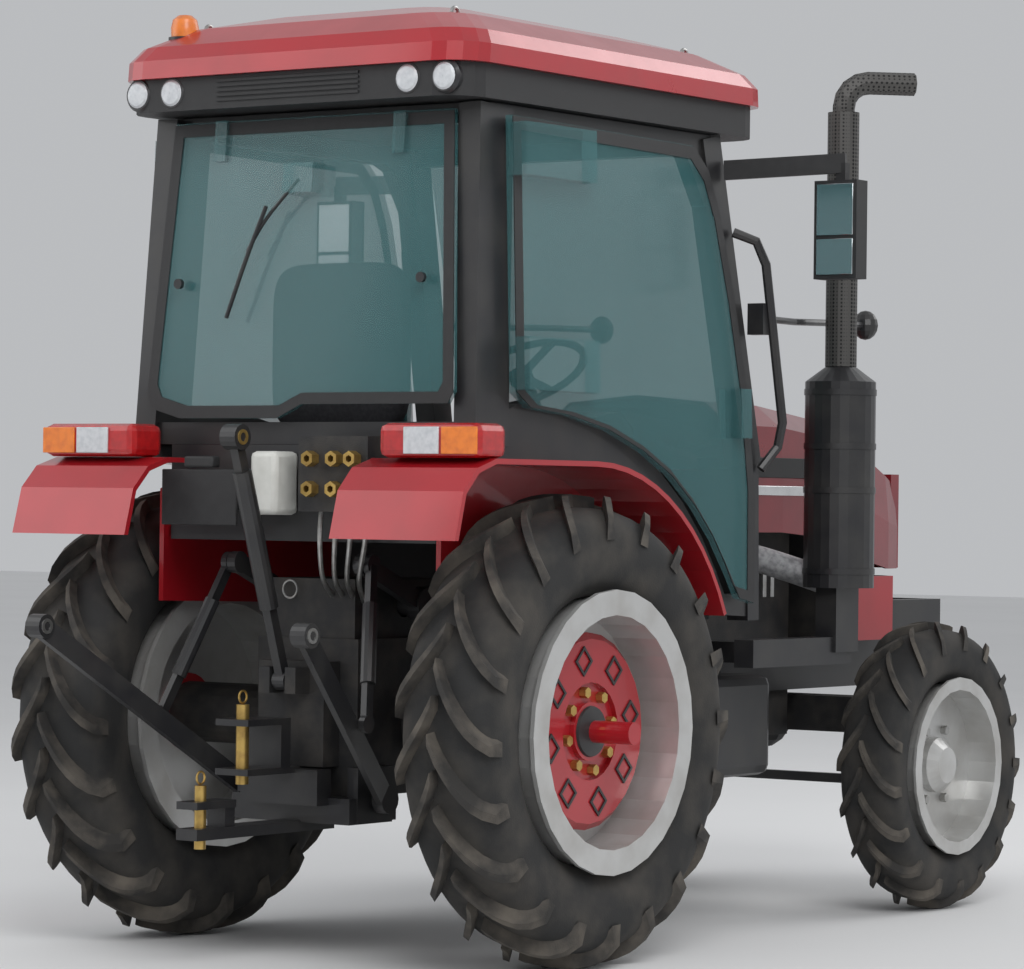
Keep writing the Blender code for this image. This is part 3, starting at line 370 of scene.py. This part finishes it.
def glass_borders():
    window = [
        (-0.475, 2.258), (0.475, 2.258), (0.520, 1.515), (0.505, 1.487), (0.02, 1.487), (-0.06, 1.450),
        (-0.40, 1.450), (-0.500, 1.477), (-0.520, 1.515),
    ]

    def on_window(flat, out):
        depth = math.tan(WINDOW_LEAN) * (2.272 - flat[:, 1])
        return np.stack([flat[:, 0], -0.2885 - depth - out, flat[:, 1]], 1)

    border(window, 0.034, on_window, 0.003, "rear_window_border", "rear_window")
    door = [
        (-0.183, 1.522), (-0.120, 1.482), (0.060, 1.467), (0.250, 1.432), (0.420, 1.377), (0.560, 1.312),
        (0.680, 1.227), (0.780, 1.132), (0.860, 1.032), (0.905, 0.967), (0.983, 0.952), (0.996, 1.250),
        (0.963, 1.550), (0.903, 1.815), (0.830, 2.060), (0.773, 2.175), (0.700, 2.236), (-0.183, 2.248),
    ]
    for word, side in SIDES:

        def on_door(flat, out, side=side):
            lean_in = math.tan(DOOR_LEAN) * (flat[:, 1] - 1.4)
            return np.stack([side * (0.6105 - lean_in + out), flat[:, 0], flat[:, 1]], 1)

        border(door, 0.036, on_door, 0.003, "door_border_" + word, "door_" + word)


# ---------------------------------------------------------------- roof
def roof_details():
    slats = [block((-0.24, -0.404, z), (0.24, -0.398, z + 0.007)) for z in np.arange(2.305, 2.368, 0.013)]
    piece("roof_vent", merged(slats), PLASTIC)
    lamps, lenses = [], []
    for x in (-0.52, -0.40, 0.40, 0.52):
        lamps.append(revolve([(0.001, 0), (0.040, 0), (0.046, -0.022), (0.040, -0.030), (0.001, -0.030)],
                             (x, -0.372, 2.335), "Y", 24))
        lenses.append(revolve([(0.001, -0.031), (0.036, -0.031), (0.030, -0.036), (0.001, -0.038)],
                              (x, -0.372, 2.335), "Y", 24))
    piece("work_lamps", merged(lamps), BLACK)
    piece("work_lamp_lenses", merged(lenses), CLEAR)
    eyes = [ring((x, y, 2.522), "X", 0.016, 0.005) for x in (-0.42, 0.42) for y in (-0.22, 0.90)]
    piece("eye_bolts", merged(eyes), STEEL)
    dome = [(0.001, 0), (0.038, 0), (0.039, 0.030), (0.034, 0.052), (0.020, 0.064), (0.001, 0.067)]
    piece("beacon", revolve(dome, (-0.44, -0.30, 2.495), "Z", 24), AMBER)
    piece("beacon_base", revolve([(0.001, 0), (0.045, 0), (0.045, 0.02), (0.001, 0.02)],
                                 (-0.44, -0.30, 2.478), "Z", 24), BLACK)


# ---------------------------------------------------------------- hood and exhaust
def hood_details():
    for word, side in SIDES:
        x = side * 0.3465
        low, high = (min(x, x + side * 0.003), 1.40, 1.315), (max(x, x + side * 0.003), 2.02, 1.375)
        piece("hood_band_" + word, block(low, high), PLASTIC, "hood", bevel=0.001)
        low, high = (low[0], 1.34, 1.262), (high[0], 1.86, 1.290)
        piece("hood_trim_" + word, block(low, high), CHROME, "hood", bevel=0.001)
    bars = [block((-0.25, 2.419, z), (0.25, 2.427, z + 0.012)) for z in (1.08, 1.15, 1.22, 1.29)]
    piece("grille_bars", merged(bars), CHROME, "hood", bevel=0.002)
    wires = [block((-0.262, 2.4195, z), (0.262, 2.4225, z + 0.004)) for z in np.arange(1.05, 1.325, 0.012)]
    piece("grille_mesh", merged(wires), PLASTIC, "hood")
    x, y = 0.600, 1.500
    bands = [revolve([(0.104, z), (0.1075, z), (0.1075, z + 0.018), (0.104, z + 0.018)], (x, y, 0), "Z", 48)
             for z in (1.03, 1.27, 1.40, 1.56)]
    piece("muffler_bands", merged(bands), BLACK)
    pipe = smooth_path([(0.19, 1.40, 1.10), (0.34, 1.40, 1.08), (0.46, 1.47, 1.04), (0.58, 1.50, 1.00)])
    piece("intake_pipe", sweep(pipe, 0.040, 16), FOIL)
    piece("guard_slots", merged([block((0.20, y, 0.95), (0.206, y + 0.02, 1.05))
                                 for y in np.arange(1.40, 1.80, 0.045)]), STEEL)


# ---------------------------------------------------------------- lamps, mirrors and trim
def lamps_and_mirrors():
    for word, side in SIDES:
        spans = (("amber", 0.62, 0.733, AMBER), ("clear", 0.50, 0.612, CLEAR))
        for kind, near, far, material in spans:
            ends = sorted((side * near, side * far))
            shape = block((ends[0], -0.5345, 1.352), (ends[1], -0.5285, 1.422))
            piece("lamp_%s_%s" % (kind, word), shape, material, bevel=0.002)
        ends = sorted((side * 0.53, side * 0.575))
        piece("reflector_" + word, block((ends[0], -0.611, 1.20), (ends[1], -0.604, 1.235)), RED_LENS)
        ends = sorted((side * 0.832, side * 0.950))
        for count, (low, high) in enumerate(((1.884, 1.985), (1.995, 2.140))):
            shape = block((ends[0], 0.961, low), (ends[1], 0.9645, high))
            piece("mirror_glass_%s_%d" % (word, count), shape, MIRROR, bevel=0.001)
        knob = revolve([(0.001, 0), (0.014, 0), (0.014, 0.012), (0.001, 0.014)],
                       (side * 0.412, -0.338 - 0.014, 1.818), "Y", 16)
        piece("window_knob_" + word, knob, BLACK, "rear_window")
    arm = smooth_path([(0.0, -0.345, 2.09), (-0.10, -0.352, 1.99), (-0.16, -0.362, 1.90)], 10)
    piece("wiper_arm", sweep(arm, 0.005, 8), BLACK, "rear_window")
    blade = smooth_path([(-0.10, -0.358, 2.02), (-0.16, -0.366, 1.88), (-0.22, -0.375, 1.72)], 10)
    piece("wiper_blade", sweep(blade, 0.006, 8), BLACK, "rear_window")
    piece("plate_holder", block((-0.36, -0.470, 1.16), (-0.10, -0.462, 1.31)), PLASTIC, bevel=0.003)
    piece("plate_lamp", block((-0.28, -0.475, 1.315), (-0.18, -0.440, 1.345)), PLASTIC, bevel=0.006)
    piece("plate_arm", block((-0.26, -0.462, 1.20), (-0.20, -0.322, 1.26)), BLACK, bevel=0.003)
    piece("washer_bottle", block((-0.09, -0.43, 1.19), (0.00, -0.325, 1.36)), WHITE, bevel=0.015)


# ---------------------------------------------------------------- rear linkage
def pin(start, end, radius):
    """A pin with a ring at its head."""
    start, end = np.asarray(start, float), np.asarray(end, float)
    return [sweep([start, end], radius, 16), ring(start + (0, 0, 0.02), "X", 0.016, 0.003)]


def linkage_details():
    clevis_pin = pin((0, -0.555, 0.690), (0, -0.555, 0.480), 0.0175)
    drawbar_pin = pin((0, -0.725, 0.485), (0, -0.725, 0.320), 0.0155)
    piece("hitch_pins", merged(clevis_pin + drawbar_pin), GOLD)
    for word, side in SIDES:
        x = side * 0.443
        piece("link_ball_" + word, revolve([(0.012, -0.027), (0.020, -0.027), (0.024, 0), (0.020, 0.027),
                                            (0.012, 0.027)], (x, -0.859, 0.890), "X", 24), STEEL,
              "lower_link_" + word)
    ball = [(0.012, -0.029), (0.020, -0.029), (0.025, 0), (0.020, 0.029), (0.012, 0.029)]
    piece("top_link_ball", revolve(ball, (0, -0.601, 1.394), "X", 24), GOLD, "top_link")
    pipes = []
    for x in (0.11, 0.16, 0.21, 0.26):
        bends = [(x, -0.37, 1.20), (x, -0.375, 1.12), (x * 0.8, -0.33, 1.02), (x * 0.6, -0.24, 0.96)]
        pipes.append(sweep(smooth_path(bends), 0.007, 10))
    piece("hydraulic_pipes", merged(pipes), STEEL)
    ports = [revolve([(0.010, 0), (0.021, 0), (0.021, -0.030), (0.010, -0.030)], (x, -0.42, z), "Y", 6)
             for x in (0.12, 0.20, 0.26) for z in (1.26, 1.34)]
    piece("quick_couplers", merged(ports), GOLD)
    piece("dipstick", merged([ring((-0.06, -0.285, 0.99), "Y", 0.024, 0.003)]), STEEL)


# ---------------------------------------------------------------- seat
def cushion(name, low, high, node):
    """A crowned pad: a superellipsoid, so its sides pull in between the corners, with two sewn channels."""
    low, high = np.asarray(low, float), np.asarray(high, float)
    u = np.linspace(-np.pi / 2, np.pi / 2, 33)[1:-1][:, None]
    v = np.linspace(0, 2 * np.pi, 64, endpoint=False)[None]

    def power(values, share):
        return np.sign(values) * np.abs(values) ** share

    x = power(np.cos(u), 0.35) * power(np.cos(v), 0.35)
    y = power(np.cos(u), 0.35) * power(np.sin(v), 0.35)
    z = power(np.sin(u), 0.55) * np.ones_like(v)
    channels = 0.05 * (np.exp(-((x - 0.45) / 0.06) ** 2) + np.exp(-((x + 0.45) / 0.06) ** 2))
    z = z * (1 - channels)
    body = np.stack([x, y, z], -1).reshape(-1, 3)
    ends = [(0, 0, -1), (0, 0, 1)]
    size, middle = (high - low) / 2, (high + low) / 2
    rows, columns = 31, 64
    faces = grid(rows, columns, False, True)
    bottom, top = rows * columns, rows * columns + 1
    j = np.arange(columns)
    faces += [(bottom, int((k + 1) % columns), int(k)) for k in j]
    last = (rows - 1) * columns
    faces += [(top, int(last + k), int(last + (k + 1) % columns)) for k in j]
    points = np.concatenate([body, ends])
    if node == "seat_backrest":
        points = points[:, [0, 2, 1]]
    obj = piece(name, (points * size + middle, faces), FABRIC, "chassis", [node])
    return obj


def seat():
    cushion("seat_pad", (-0.236, -0.096, 1.303), (0.236, 0.356, 1.408), "seat_cushion")
    cushion("back_pad", (-0.226, -0.188, 1.419), (0.226, -0.112, 1.876), "seat_backrest")


# ---------------------------------------------------------------- studio
def studio():
    """A pale floor, soft lights and a pale sky; the camera is placed by camera()."""
    shell = bpy.data.meshes.new("floor")
    shell.from_pydata([(-40, -40, 0), (40, -40, 0), (40, 40, 0), (-40, 40, 0)], [], [(0, 1, 2, 3)])
    floor = bpy.data.objects.new("floor", shell)
    bpy.context.scene.collection.objects.link(floor)
    shell.materials.append(finish("pale_floor", (0.80, 0.80, 0.80), (0.78, 0.78, 0.78), 0.5, 0.8))
    lamps = (("key", (6, -6, 7), 5, 430), ("fill", (-6, -5, 5), 6, 170), ("front", (3, 7, 6), 5, 190))
    for name, place, size, power in lamps:
        data = bpy.data.lights.new(name, "AREA")
        data.size, data.energy = size, power
        lamp = bpy.data.objects.new(name, data)
        bpy.context.scene.collection.objects.link(lamp)
        lamp.rotation_euler = (-Vector(place)).to_track_quat("-Z", "Y").to_euler()
        lamp.location = place
    sky = bpy.data.worlds.new("studio")
    bpy.context.scene.world = sky
    sky.use_nodes = True
    sky.node_tree.nodes["Background"].inputs["Color"].default_value = (0.95, 0.97, 1.0, 1)
    sky.node_tree.nodes["Background"].inputs["Strength"].default_value = 0.52
    bpy.context.scene.view_settings.view_transform = "Standard"


def camera():
    """Right, up and back directions from a heading, a small upward tilt and a small roll."""
    heading, tilt, roll = math.radians(35.1672), math.radians(0.2702), math.radians(0.6864)
    level = np.array([-math.sin(heading), math.cos(heading), 0])
    ahead = level * math.cos(tilt) + np.array([0, 0, math.sin(tilt)])
    right = np.array([math.cos(heading), math.sin(heading), 0])
    up = np.cross(right, ahead)
    turned_right = right * math.cos(roll) + up * math.sin(roll)
    turned_up = -right * math.sin(roll) + up * math.cos(roll)
    data = bpy.data.cameras.new("camera")
    data.lens, data.sensor_width = 140.625, 36.0
    data.clip_end = 200.0
    view = bpy.data.objects.new("camera", data)
    bpy.context.scene.collection.objects.link(view)
    turn = Matrix(np.stack([turned_right, turned_up, -ahead], 1).tolist()).to_4x4()
    turn.translation = (6.6448, AXLE_Y - 8.7671, 1.2282)
    view.matrix_world = turn
    bpy.context.scene.camera = view


camera()
finish_nodes()
wheels()
glass_borders()
roof_details()
hood_details()
lamps_and_mirrors()
linkage_details()
seat()
studio()
